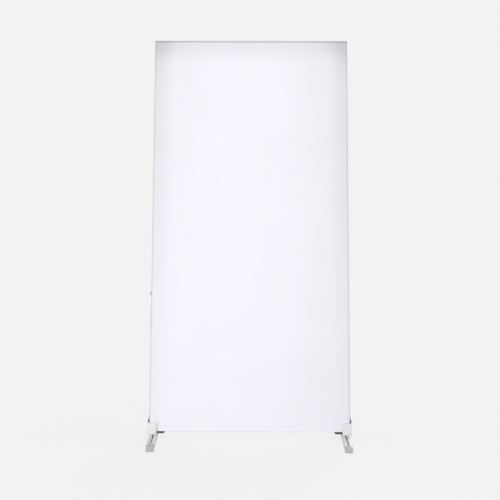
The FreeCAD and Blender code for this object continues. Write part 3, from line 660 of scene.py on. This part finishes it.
def relief(flat):
    """How far the cloth stands proud at a point of the plain box, measured from the panel's middle."""
    gaps = [half - abs(value) for half, value in zip(PANEL_HALF, flat)]
    own, near, along = sorted(range(3), key=lambda axis: gaps[axis])
    from_seam = gaps[near]
    phase = seam_phase(flat, (own, near))
    wander = noise.noise((flat[along] * WANDER_PER_METRE, phase, 0))
    pucker = wave(math.tau * flat[along] / PUCKER_PITCH + phase + PUCKER_WANDER * wander)
    gather = wave(math.tau * flat[along] / GATHER_PITCH + 2 * phase + GATHER_WANDER * wander)
    settle = min(1.0, gaps[along] / CORNER_REACH)
    slack = min(1.0, max(0.0, from_seam / SLACK_REACH - SLACK_START))

    height = RIDGE_TALL * bell(from_seam - RIDGE_INSET, RIDGE_REACH)
    height *= 1 - PUCKER_SHARE + PUCKER_SHARE * pucker * settle
    height += GATHER_TALL * math.exp(-from_seam / GATHER_REACH) * gather * settle
    height += SLACK_TALL * slack * (0.5 + 0.5 * noise.noise(flat * SLACK_PER_METRE))
    if along == 2 and flat.x < 0:
        gape = bell(flat.z + PANEL_MID.z - GAPE_HEIGHT, GAPE_REACH)
        height += GAPE_TALL * gape * bell(from_seam, GAPE_FADE)
    if own != 1:
        height *= max(0.0, 1 - from_seam / GUSSET_REACH) ** 2
    return height


def skin_place(flat):
    """The cover's outer point and outward direction over a point of the plain box."""
    core = [min(max(value, EDGE_ROUND - half), half - EDGE_ROUND) for value, half in zip(flat, PANEL_HALF)]
    outward = (flat - Vector(core)).normalized()
    return PANEL_MID + Vector(core) + outward * (EDGE_ROUND + relief(flat)), outward


def face_outline(inset):
    """Points round a rectangle set in from the panel's edge: along its foot, up its right side and on."""
    half_x = PANEL_HALF.x - inset
    half_z = PANEL_HALF.z - inset
    fine_across = ACROSS_CELLS * FINE_STEPS
    fine_up = UP_CELLS * FINE_STEPS
    across = [-half_x + 2 * half_x * i / fine_across for i in range(fine_across)]
    up = [-half_z + 2 * half_z * i / fine_up for i in range(fine_up)]
    low = [(x, -half_z) for x in across]
    right = [(half_x, z) for z in up]
    top = [(-x, half_z) for x in across]
    left = [(-half_x, -z) for z in up]
    return low + right + top + left


def face_mesh(name, side):
    """The front (side -1) or rear (1) cloth: fine bands along its edge, and an open grid over the middle."""
    rings = [face_outline(inset * MM) for inset in FACE_INSETS]
    around = len(rings[0])
    flat = [point for ring in rings for point in ring]
    cells = ring_faces(0, len(rings), around)
    rim = (len(rings) - 1) * around
    right_corner = rim + ACROSS_CELLS * FINE_STEPS
    top_corner = right_corner + UP_CELLS * FINE_STEPS
    left_corner = top_corner + ACROSS_CELLS * FINE_STEPS
    half_x = PANEL_HALF.x - FACE_INSETS[-1] * MM
    half_z = PANEL_HALF.z - FACE_INSETS[-1] * MM
    middle = {}

    def point_number(column, row):
        """The number of a point of the open grid, which shares the innermost ring's points at its rim."""
        if row == 0:
            return rim + column * FINE_STEPS
        if column == ACROSS_CELLS:
            return right_corner + row * FINE_STEPS
        if row == UP_CELLS:
            return top_corner + (ACROSS_CELLS - column) * FINE_STEPS
        if column == 0:
            return left_corner + (UP_CELLS - row) * FINE_STEPS
        if (column, row) not in middle:
            middle[column, row] = len(flat)
            x = -half_x + 2 * half_x * column / ACROSS_CELLS
            flat.append((x, -half_z + 2 * half_z * row / UP_CELLS))
        return middle[column, row]

    def side_points(start, end):
        """A cell's side without its end, and with the ring's fine points where it lies on the rim."""
        first = point_number(*start)
        last = point_number(*end)
        on_rim = first < rim + around and last < rim + around
        if on_rim and (last - first) % around == FINE_STEPS:
            return [rim + (first - rim + i) % around for i in range(FINE_STEPS)]
        return [first]

    for row in range(UP_CELLS):
        for column in range(ACROSS_CELLS):
            corners = [(column, row), (column + 1, row), (column + 1, row + 1), (column, row + 1)]
            ends = corners[1:] + corners[:1]
            cells.append(tuple(sum((side_points(start, end) for start, end in zip(corners, ends)), [])))
    places = [skin_place(Vector((x, side * PANEL_HALF.y, z))) for x, z in flat]
    return closed_cloth(name, places, cells, CLOTH_THICK)


def mirrored_lines(half, insets, step):
    """Numbers from -half to half: close together at both ends, then evenly spaced."""
    ends = [half - inset * MM for inset in insets]
    return [-value for value in ends] + even_steps(-ends[-1], ends[-1], step)[1:-1] + ends[::-1]


def gusset_mesh(name, axis, side, slit=False):
    """One of the narrow strips between the two faces. axis is the box's axis that it faces along."""
    along = 2 if axis == 0 else 0
    rows = mirrored_lines(PANEL_HALF[along], SEAM_INSETS, GUSSET_ROW)
    columns = mirrored_lines(PANEL_HALF.y, SEAM_INSETS, GUSSET_COLUMN)
    slit_ends = [SLIT_LOW - PANEL_MID.z, SLIT_TOP - PANEL_MID.z]
    if slit:
        rows = sorted([row for row in rows if min(abs(row - end) for end in slit_ends) > MM] + slit_ends)
        columns = sorted([c for c in columns if abs(abs(c) - SLIT_HALF) > MM] + [-SLIT_HALF, SLIT_HALF])

    def kept(row, column):
        beside = abs(columns[column] + columns[column + 1]) / 2 > SLIT_HALF
        level = (rows[row] + rows[row + 1]) / 2
        return not slit or beside or not slit_ends[0] < level < slit_ends[1]

    places = []
    for row in rows:
        for column in columns:
            flat = Vector((0, column, 0))
            flat[axis] = side * PANEL_HALF[axis]
            flat[along] = row
            places.append(skin_place(flat))
    return closed_cloth(name, places, grid_cells(len(rows), len(columns), kept), CLOTH_THICK)


def stitch_mesh(name, runs, length, radius):
    """A row of sewn stitches, fat in the middle, that dip into the cloth at both ends.

    Each run is (middle, direction of the thread, outward direction).
    """
    points = []
    faces = []
    for middle, along, outward in runs:
        across = along.cross(outward)
        faces += tube_faces(len(points), STITCH_RINGS, STITCH_SIDES)
        for ring in range(STITCH_RINGS):
            share = ring / (STITCH_RINGS - 1)
            swell = math.sin(math.pi * share)
            lift = radius * (STITCH_RISE * swell - STITCH_DIP)
            centre = middle + along * length * (share - 0.5) + outward * lift
            for side in range(STITCH_SIDES):
                turn = math.tau * side / STITCH_SIDES
                arm = across * math.cos(turn) + outward * math.sin(turn)
                points.append(centre + arm * radius * (STITCH_TIP + (1 - STITCH_TIP) * swell))
    return mesh_of(name, points, faces, sharp_angle=60)


def seam_runs(side):
    """The stitches of the seam between a face and the gussets, with the thread lying across the seam."""
    runs = []
    for axis, along in ((0, 2), (2, 0)):
        reach = PANEL_HALF[along] - SEAM_STITCH_MARGIN
        for end in (-1, 1):
            for place in even_steps(-reach, reach, SEAM_STITCH_PITCH):
                flat = Vector((0, side * PANEL_HALF.y, 0))
                flat[axis] = end * PANEL_HALF[axis]
                flat[along] = place
                point, outward = skin_place(flat)
                seam = Vector((0, 0, 0))
                seam[along] = 1
                runs.append((point, seam.cross(outward), outward))
    return runs


def add_cover_face(materials, name, side):
    mesh = face_mesh(name + "_cover_cloth", side)
    piece = add_piece(mesh.name, mesh, materials["cover_fabric"], "wall", "cover_fabric", name + "_cover")
    seam = stitch_mesh(name + "_seam_stitches", seam_runs(side), SEAM_STITCH_LONG, SEAM_STITCH_RADIUS)
    add_piece(seam.name, seam, materials["thread"], "wall", "cover_fabric")


def add_gusset(materials, name, axis, side):
    """One strip of the cover. The left one has the zip's slit cut out of it."""
    slit = name == "left"
    mesh = gusset_mesh(name + "_gusset_cloth", axis, side, slit)
    piece = add_piece(mesh.name, mesh, materials["cover_fabric"], "wall", "cover_fabric", name + "_gusset")


def add_cover(materials):
    add_cover_face(materials, "front", -1)
    add_cover_face(materials, "rear", 1)
    for name, side in (("top", 1), ("bottom", -1)):
        add_gusset(materials, name, 2, side)
    for name, side in (("left", -1), ("right", 1)):
        add_gusset(materials, name, 0, side)


# ---------------------------------------------------------------- zip

# Tapes: a cord along the inner edge that the teeth grip, and two raised selvedge lines
TAPE_STEP = 2 * MM
TAPE_COLUMNS = 24
CORD_INSET = 0.95 * MM
CORD_HALF = 0.5 * MM
CORD_TALL = 0.30 * MM
SELVEDGE_INSETS = (9.5 * MM, 15.2 * MM)
SELVEDGE_REACH = 0.5 * MM
SELVEDGE_TALL = 0.14 * MM
WEAVE_TALL = 0.03 * MM
WEAVE_PITCH = 6 * MM

# Two lines of sewing hold each tape to the gusset.
TAPE_STITCH_INSETS = (7.6 * MM, 13.4 * MM)
TAPE_STITCH_PITCH = 3 * MM
TAPE_STITCH_LONG = 2.2 * MM
TAPE_STITCH_RADIUS = 0.2 * MM

TOOTH_PITCH = 2.8 * MM
# Half of a tooth seen from outside, in millimetres: (distance from the zip's middle, half width along it)
TOOTH_ROOT = [(3.0, 0.62), (2.1, 0.50), (1.5, 0.42)]
TOOTH_HEAD = [(1.15, 0.62), (0.85, 0.66), (0.55, 0.50), (0.46, 0.25)]
# Levels of a tooth: (share of its height above the tape, share of its full outline)
TOOTH_LEVELS = [(-0.25, 1.0), (0.78, 1.0), (0.93, 0.9), (1.0, 0.7)]

# Slider: a crowned plate in front of the teeth, a back plate, the wedge that joins them, and two flanges
TEETH_CLEAR = 0.2 * MM
PLATE_BEHIND_LINK = 1.9 * MM
WAIST_SHARE = 0.76
SHOULDER_TALL = 0.22
TOE_TALL = 0.2
ARC_STEPS = 12
# Levels of the crown: (depth behind the plate's outer face in millimetres, share of the plate's outline)
CROWN = [(0.55, 1.0), (0.25, 0.96), (0.08, 0.88), (0, 0.72)]
BACK_PLATE_THICK = 0.65 * MM
# The wedge's shares of the plate's size, and how far its ends stay inside the two plates' outer faces
WEDGE_WIDE = 0.08
WEDGE_TALL = 0.4
WEDGE_IN_BACK = 0.2 * MM
WEDGE_IN_FRONT = 0.4 * MM
FLANGE_HALF = 0.85 * MM
FLANGE_REACH = 1.9 * MM
FLANGE_TALL = 0.42
FLANGE_SIDES = 16

# Bail: the arch on the slider that the pull hangs in
BAIL_HALF_THICK = 0.7 * MM
BAIL_HALF_WIDE = 1.3 * MM
BAIL_HALF_TALL = 4.1 * MM
BAIL_SUNK = 0.5 * MM
BAIL_ARCH = 0.55
BAIL_ROUNDNESS = 0.6
BAIL_RINGS = 25
BAIL_SIDES = 16

# Ribbon of the pull: folded over the link's lower bar, where it lies across, then twisted by a quarter turn
RIBBON_STEP = 0.8 * MM
RIBBON_SIDES = 20
RIBBON_HALF_THICK = 0.56 * MM
RIBBON_ROUNDNESS = 0.35
RIBBON_LAP = 1.6 * MM
RIBBON_FOLD = 1.4 * MM
FOLD_THICK = 0.35
FOLD_HALF_WIDE = 2.6 * MM
TWIST_START = 7 * MM
TWIST_LONG = 6 * MM
RIBBON_EDGE_REACH = 0.7 * MM
RIBBON_EDGE_SWELL = 0.12
RIBBON_RIB_PITCH = 2.4 * MM
RIBBON_RIB_DIP = 0.10
PULL_STITCHES = 4
PULL_STITCH_LONG = 1.5 * MM
PULL_STITCH_RADIUS = 0.14 * MM
PULL_STITCH_PROUD = 0.58 * MM
PULL_END_STITCHES = (4 * MM, 7 * MM)
PULL_TOP_STITCHES = 14 * MM

STOP_EDGE = 0.5 * MM
LINK_EDGE = 0.35 * MM


def tape_mesh(name, side, low, high):
    """A woven tape with a corded inner edge and two raised selvedge lines."""
    inner, outer = sorted((abs(low.y), abs(high.y)))
    rows = even_steps(low.z, high.z, TAPE_STEP)
    columns = [inner + (outer - inner) * i / TAPE_COLUMNS for i in range(TAPE_COLUMNS + 1)]
    outward = Vector((-1, 0, 0))
    places = []
    for z in rows:
        for y in columns:
            proud = CORD_TALL * max(0.0, 1 - ((y - CORD_INSET) / CORD_HALF) ** 2)
            proud += SELVEDGE_TALL * sum(bell(y - inset, SELVEDGE_REACH) for inset in SELVEDGE_INSETS)
            proud += max(0, WEAVE_TALL * math.sin(math.tau * z / WEAVE_PITCH))
            places.append((Vector((low.x - proud, side * y, z)), outward))
    return closed_cloth(name, places, grid_cells(len(rows), len(columns)), high.x - low.x)


def tape_stitches(name, side, low, high):
    runs = [
        (Vector((low.x, side * inset, z)), Vector((0, 0, 1)), Vector((-1, 0, 0)))
        for inset in TAPE_STITCH_INSETS
        for z in even_steps(low.z + TAPE_STITCH_PITCH, high.z - TAPE_STITCH_PITCH, TAPE_STITCH_PITCH)
    ]
    return stitch_mesh(name, runs, TAPE_STITCH_LONG, TAPE_STITCH_RADIUS)


def teeth_mesh(name, side, shift, low, high):
    """A row of separate moulded teeth with rounded heads, gripping the tape's cord."""
    half = TOOTH_ROOT + TOOTH_HEAD
    outline = half + [(y, -width) for y, width in reversed(half)]
    middle_y = sum(y for y, _ in outline) / len(outline)
    points = []
    faces = []
    for index in range(int((high.z - low.z - TOOTH_PITCH) / TOOTH_PITCH)):
        centre = low.z + TOOTH_PITCH * (index + 0.5) + shift
        faces += tube_faces(len(points), len(TOOTH_LEVELS), len(outline))
        for level, share in TOOTH_LEVELS:
            for y, width in outline:
                across = side * (middle_y + (y - middle_y) * share) * MM
                x = high.x - (high.x - low.x) * level
                points.append(Vector((x, across, centre + width * share * MM)))
    return mesh_of(name, points, faces, sharp_angle=40)


def add_zip_side(materials, name, side, shift):
    """One tape with its row of teeth and its stitches. shift moves the teeth between those across the zip."""
    low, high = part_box(f"zip_{name}_tape")
    mesh = tape_mesh(f"zip_{name}_tape_weave", side, low, high)
    tape = add_piece(mesh.name, mesh, materials["zip_tape"], "wall", "zip_tape", f"zip_{name}_tape")
    mesh = teeth_mesh(f"zip_{name}_teeth_row", side, shift, *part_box(f"zip_{name}_teeth"))
    add_piece(mesh.name, mesh, materials["zip_teeth"], "wall", "zip_teeth", f"zip_{name}_teeth")
    mesh = tape_stitches(f"zip_{name}_tape_stitches", side, low, high)
    add_piece(mesh.name, mesh, materials["thread"], "wall", "zip_tape")


def shield(low, high, half, waist):
    """A slider plate's outline: broad round shoulders at the top, narrowing to a rounded lower end."""
    tall = high - low
    turns = [math.pi / 2 * step / ARC_STEPS for step in range(ARC_STEPS + 1)]
    right = []
    for turn in turns[1:]:
        right.append((half * math.sqrt(math.sin(turn)), high - SHOULDER_TALL * tall * (1 - math.cos(turn))))
    for turn in turns:
        right.append((waist * math.sqrt(math.cos(turn)), low + TOE_TALL * tall * (1 - math.sin(turn))))
    return right + [(-y, z) for y, z in reversed(right[:-1])]


def add_slab(points, faces, outline, levels):
    """Adds a closed slab. outline is its (y, z) points and levels its (x, share of the outline's size)."""
    middle = sum((Vector(point) for point in outline), Vector((0, 0))) / len(outline)
    faces += tube_faces(len(points), len(levels), len(outline))
    for x, share in levels:
        for point in outline:
            y, z = middle + (Vector(point) - middle) * share
            points.append(Vector((x, y, z)))


def add_bail(points, faces, face, low, high):
    """The arch over the slider's plate. face is the plate's outer x."""
    root = face + BAIL_SUNK
    rise = root - low.x - BAIL_HALF_THICK
    path = []
    for ring in range(BAIL_RINGS):
        turn = math.pi * ring / (BAIL_RINGS - 1)
        x = root - rise * math.sin(turn) ** BAIL_ARCH
        path.append(Vector((x, 0, (low.z + high.z) / 2 + BAIL_HALF_TALL * math.cos(turn))))
    faces += tube_faces(len(points), BAIL_RINGS, BAIL_SIDES)
    for ring, centre in enumerate(path):
        along = (path[min(ring + 1, BAIL_RINGS - 1)] - path[max(ring - 1, 0)]).normalized()
        outward = Vector((0, 1, 0)).cross(along)
        for side in range(BAIL_SIDES):
            turn = math.tau * side / BAIL_SIDES
            wide, thick = box_section(turn, BAIL_HALF_WIDE, BAIL_HALF_THICK, BAIL_ROUNDNESS)
            points.append(centre + Vector((0, wide, 0)) + outward * thick)


def flange_outline(side, low, high):
    """The oval outline of the rim along one side of the slider, which keeps the tapes in."""
    outline = []
    for i in range(FLANGE_SIDES):
        turn = math.tau * i / FLANGE_SIDES
        y = high.y - FLANGE_HALF + FLANGE_HALF * math.cos(turn)
        z = (low.z + high.z) / 2 + FLANGE_TALL * (high.z - low.z) * math.sin(turn)
        outline.append((side * y, z))
    return outline


def slider_mesh(name):
    """A zip slider: a crowned shield-shaped plate, a back plate, their wedge, side flanges and a bail.

    In each slab's levels the outline shrinks a little at an outer edge, to round it.
    """
    low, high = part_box("zip_slider")
    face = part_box("zip_pull_link")[1].x + PLATE_BEHIND_LINK
    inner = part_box("zip_front_teeth")[0].x - TEETH_CLEAR
    back = high.x
    flange_end = inner + FLANGE_REACH
    plate = shield(low.z, high.z, high.y, high.y * WAIST_SHARE)
    wedge = [(y * WEDGE_WIDE, high.z - WEDGE_TALL * (high.z - z)) for y, z in plate]
    crown = [(face + depth * MM, share) for depth, share in CROWN]
    points = []
    faces = []
    add_slab(points, faces, plate, [(inner, 0.97), (inner - 0.1 * MM, 1.0)] + crown)
    add_slab(points, faces, plate, [(back, 0.95), (back - 0.15 * MM, 1.0), (back - BACK_PLATE_THICK, 1.0)])
    add_slab(points, faces, wedge, [(back - WEDGE_IN_BACK, 1.0), (face + WEDGE_IN_FRONT, 1.0)])
    for side in (-1, 1):
        flange = flange_outline(side, low, high)
        add_slab(points, faces, flange, [(flange_end, 0.9), (flange_end - 0.15 * MM, 1.0), (inner, 1.0)])
    add_bail(points, faces, face, low, high)
    return mesh_of(name, points, faces, sharp_angle=38)


def ribbon_mesh(name, low, high):
    """The pull's folded ribbon: round the link's lower bar it lies across, then it turns to hang edge on."""
    link_low, link_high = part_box("zip_pull_link")
    top = high.z + RIBBON_LAP
    rows = even_steps(low.z, top, RIBBON_STEP)
    points = []
    for z in rows:
        share = min(1.0, max(0.0, (z - (high.z - TWIST_START)) / TWIST_LONG))
        ease = share * share * (3 - 2 * share)
        turn = math.pi / 2 * ease
        middle_x = (1 - ease) * (low.x + high.x) / 2 + ease * (link_low.x + link_high.x) / 2
        half_wide = (1 - ease) * (high.x - low.x) / 2 + ease * FOLD_HALF_WIDE
        fold = math.sqrt(max(0.0, min(1.0, (top - z) / RIBBON_FOLD)))
        half_thick = RIBBON_HALF_THICK * (FOLD_THICK + (1 - FOLD_THICK) * fold)
        half_thick *= 1 - RIBBON_RIB_DIP * wave(math.tau * z / RIBBON_RIB_PITCH)
        for i in range(RIBBON_SIDES):
            wide, thick = box_section(math.tau * i / RIBBON_SIDES, half_wide, half_thick, RIBBON_ROUNDNESS)
            thick *= 1 + RIBBON_EDGE_SWELL * bell(half_wide - abs(wide), RIBBON_EDGE_REACH)
            x = middle_x + wide * math.cos(turn) - thick * math.sin(turn)
            y = wide * math.sin(turn) + thick * math.cos(turn)
            points.append(Vector((x, y, z)))
    return mesh_of(name, points, tube_faces(0, len(rows), RIBBON_SIDES), sharp_angle=50)


def ribbon_stitches(name, low, high):
    """Short lines of sewing across the ribbon: two that close its end, and one under the link."""
    levels = [low.z + rise for rise in PULL_END_STITCHES] + [high.z - PULL_TOP_STITCHES]
    runs = [
        (Vector((low.x + (high.x - low.x) * (i + 0.5) / PULL_STITCHES, side * PULL_STITCH_PROUD, z)),
         Vector((1, 0, 0)), Vector((0, side, 0)))
        for side in (-1, 1)
        for z in levels
        for i in range(PULL_STITCHES)
    ]
    return stitch_mesh(name, runs, PULL_STITCH_LONG, PULL_STITCH_RADIUS)


def add_pull(materials):
    """The metal link on the slider's bail, and the ribbon sewn round it."""
    softened("zip_pull_link", LINK_EDGE, materials["zip_metal"], segments=3)
    low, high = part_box("zip_pull_ribbon")
    mesh = ribbon_mesh("zip_pull_ribbon_weave", low, high)
    add_piece(mesh.name, mesh, materials["pull_ribbon"], "zip_pull", "pull_ribbon", "zip_pull_ribbon")
    mesh = ribbon_stitches("zip_pull_ribbon_stitches", low, high)
    add_piece(mesh.name, mesh, materials["thread"], "zip_pull", "pull_ribbon")


def add_zip(materials):
    add_zip_side(materials, "front", -1, 0.0)
    add_zip_side(materials, "rear", 1, TOOTH_PITCH / 2)
    for node in ("zip_top_stop", "zip_bottom_stop"):
        softened(node, STOP_EDGE, materials["zip_teeth"], segments=3)
    mesh = slider_mesh("zip_slider_detail")
    add_piece(mesh.name, mesh, materials["zip_metal"], "zip_slider", "zip_metal", "zip_slider")
    add_pull(materials)


# ---------------------------------------------------------------- feet, shoes and frame

BAR_EDGE = 0.35 * MM
MOULDED_EDGE = 0.4 * MM
SHOE_EDGE = 0.6 * MM
WASHER_EDGE = 0.15 * MM


def foot_turn(side_name):
    """The angle about Z at which a foot rests, from where the middles of its two end caps lie."""
    front_low, front_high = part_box(side_name + "_foot_front_cap")
    rear_low, rear_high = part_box(side_name + "_foot_rear_cap")
    run = (rear_low + rear_high - front_low - front_high) / 2
    return math.atan2(-run.x, run.y)


def add_foot(materials, side_name):
    """A corner's foot with its caps and pads, and the cheeks, the shoe and the washer that it turns on."""
    turn = foot_turn(side_name)
    softened(side_name + "_foot_bar", BAR_EDGE, materials["foot_bar"], turn)
    for end in ("front", "rear"):
        softened(f"{side_name}_foot_{end}_cap", MOULDED_EDGE, materials["foot_cap"], turn)
        softened(f"{side_name}_{end}_cheek", MOULDED_EDGE, materials["cheek"])
    softened(side_name + "_foot_pads", MOULDED_EDGE, materials["pad"], turn)
    softened(side_name + "_corner_shoe", SHOE_EDGE, materials["shoe"])
    softened(side_name + "_swivel_washer", WASHER_EDGE, materials["washer"])


def finish_cad_nodes(materials):
    """The hidden frame and the fasteners keep their CAD shape and get a worked material."""
    for part in frame["nodes"].values():
        if not part.hide_render:
            slot = part.data.materials[0].name
            part.data.materials[0] = materials[slot]


add_studio()
materials = make_materials()
add_cover(materials)
add_zip(materials)
for side_name in ("left", "right"):
    add_foot(materials, side_name)
finish_cad_nodes(materials)
